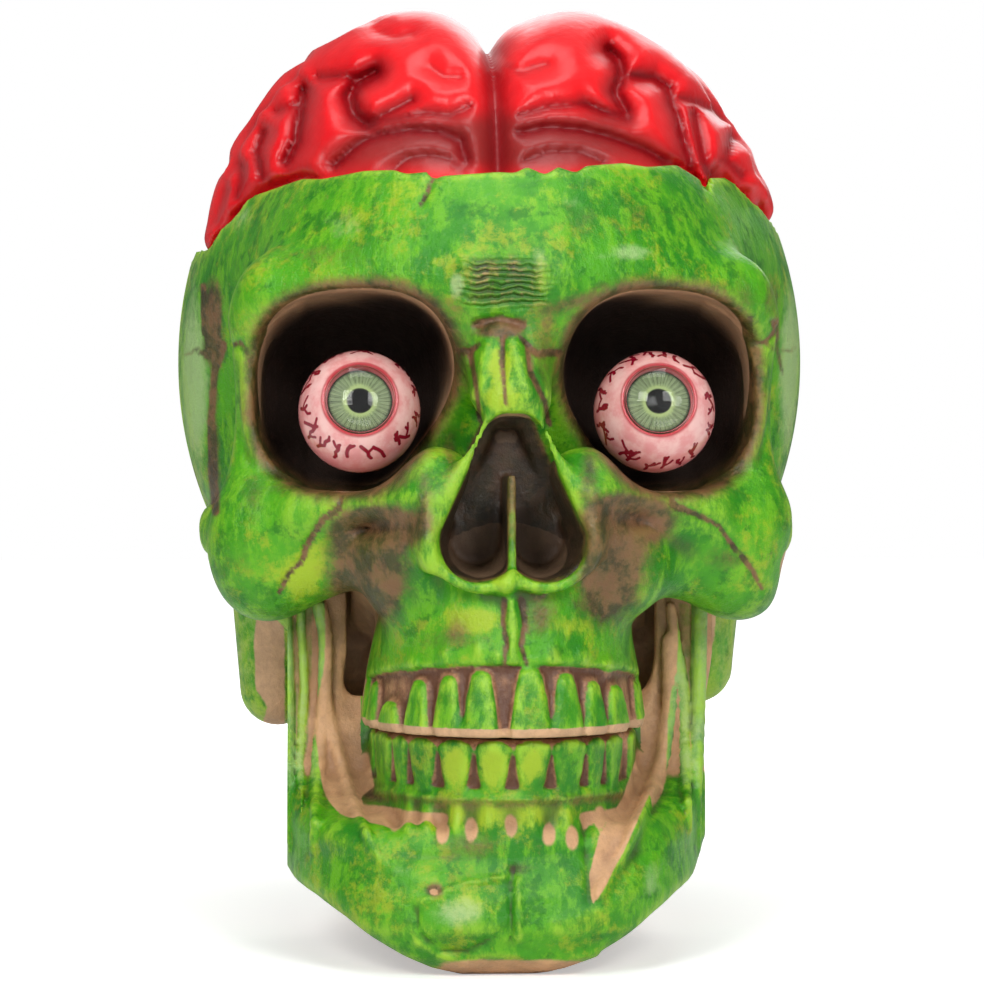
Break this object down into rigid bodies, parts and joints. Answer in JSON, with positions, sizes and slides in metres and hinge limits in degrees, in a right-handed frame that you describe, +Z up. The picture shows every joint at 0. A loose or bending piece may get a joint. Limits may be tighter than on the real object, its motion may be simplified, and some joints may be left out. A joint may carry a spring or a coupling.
{
  "type": "halloween skull decoration",
  "caption": "Life-size zombie skull prop with a raised translucent brain, two eyeballs in deep sockets, a hinged lower jaw and a battery column that it stands on.",
  "frame": {"origin": "on the surface that the skull stands on, under the middle of the part's width and depth", "axes": "+Z up, the face looks along -Y, +X is the skull's own left side"},
  "size_m": [0.1458, 0.177, 0.2115],
  "materials": {
    "face_paint": "hand-painted mottled green over bare flesh plastic, semi-gloss",
    "back_paint": "thin green mist over bare flesh plastic, semi-gloss",
    "jaw_paint": "mottled green and flesh, yellow-green teeth, semi-gloss",
    "bare_plastic": "bare flesh plastic, satin",
    "brain_plastic": "glossy translucent red plastic",
    "eye_white": "bloodshot pink white, glossy",
    "iris_paint": "grey-green fibrous print with a black pupil",
    "cornea_clear": "clear dome, polished",
    "black_plastic": "black",
    "screw_steel": "zinc-plated",
    "contact_steel": "nickel-plated",
    "cell_jacket": "printed sleeve, plain",
    "board_white": "white solder mask",
    "lamp_clear": "clear warm lens",
    "wire_red": "red sleeve",
    "wire_black": "black sleeve"
  },
  "bodies": {
    "skull": {"face_shell": "face_paint", "back_shell": "back_paint", "brain": "brain_plastic", "column_housing": "bare_plastic", "switch_body": "black_plastic", "light_board": "board_white", "lead_supply": "wire_red", "lead_switched": "wire_red", "lead_return": "wire_black", "eyeball_left": "eye_white", "iris_left": "iris_paint", "cornea_left": "cornea_clear", "eye_stalk_left": "black_plastic", "shell_screw_upper_left": "screw_steel", "shell_screw_lower_left": "screw_steel", "eye_screw_left": "screw_steel", "jaw_pin_left": "screw_steel", "column_screw_left": "screw_steel", "board_screw_left": "screw_steel", "cell_left": "cell_jacket", "cell_spring_left": "contact_steel", "top_contact_left": "contact_steel", "eyeball_right": "eye_white", "iris_right": "iris_paint", "cornea_right": "cornea_clear", "eye_stalk_right": "black_plastic", "shell_screw_upper_right": "screw_steel", "shell_screw_lower_right": "screw_steel", "eye_screw_right": "screw_steel", "jaw_pin_right": "screw_steel", "column_screw_right": "screw_steel", "board_screw_right": "screw_steel", "cell_right": "cell_jacket", "cell_spring_right": "contact_steel", "top_contact_right": "contact_steel", "lamp_1": "lamp_clear", "lamp_2": "lamp_clear", "lamp_3": "lamp_clear"},
    "jaw": {"jaw": "jaw_paint"},
    "switch": {"switch_knob": "black_plastic"},
    "door": {"battery_door": "bare_plastic", "door_screw_left": "screw_steel", "door_screw_right": "screw_steel", "door_strip": "contact_steel"}
  },
  "joints": [
    {"name": "jaw_hinge", "type": "hinge", "parent": "skull", "child": "jaw", "pos_m": [0, -0.01, 0.084], "axis": [1, 0, 0], "range_deg": [0, 12]},
    {"name": "switch_slide", "type": "slide", "parent": "skull", "child": "switch", "axis": [1, 0, 0], "range_m": [0, 0.004]},
    {"name": "door_removal", "type": "slide", "parent": "skull", "child": "door", "axis": [0, 0, -1], "range_m": [0, 0.03]}
  ]
}
